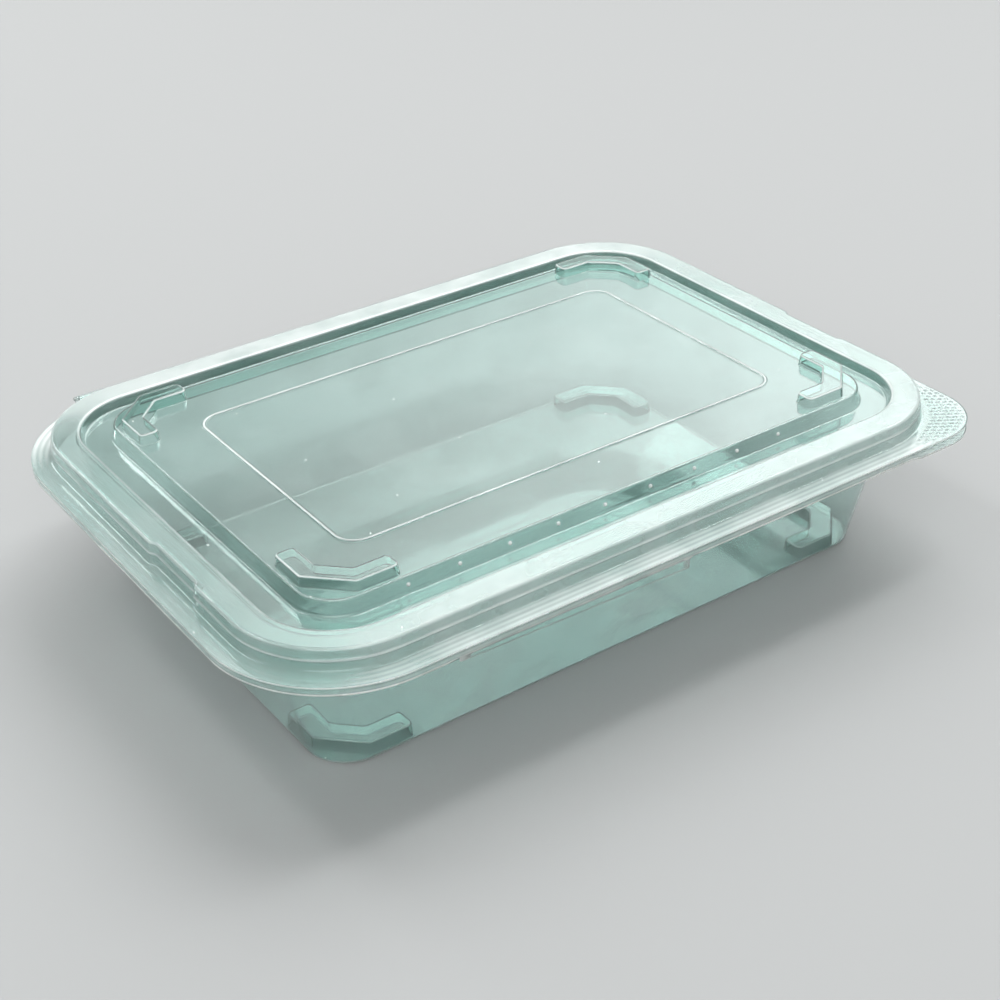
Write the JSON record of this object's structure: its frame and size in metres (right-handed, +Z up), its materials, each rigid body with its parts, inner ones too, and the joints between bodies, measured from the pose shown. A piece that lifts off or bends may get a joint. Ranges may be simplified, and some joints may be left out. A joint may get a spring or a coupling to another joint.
{
  "type": "hinged food container",
  "caption": "Clear vacuum-formed clamshell food container: drafted tray with a nested snap rim, hinged lid, corner stacking lugs and a grip tab.",
  "frame": {"origin": "middle of the underside of the floor, on the plane the container rests on", "axes": "+Z up, X along the long side, the hinge at the +Y side and the front at -Y"},
  "size_m": [0.19, 0.1426, 0.0433],
  "materials": {
    "clear_base": "clear, glossy",
    "clear_lid": "clear, glossy"
  },
  "bodies": {
    "base": {"base": "clear_base"},
    "lid": {"lid": "clear_lid"}
  },
  "joints": [
    {"name": "lid_hinge", "type": "hinge", "parent": "base", "child": "lid", "pos_m": [0, 0.0732, 0.0333], "axis": [-1, 0, 0], "range_deg": [0, 180]}
  ]
}
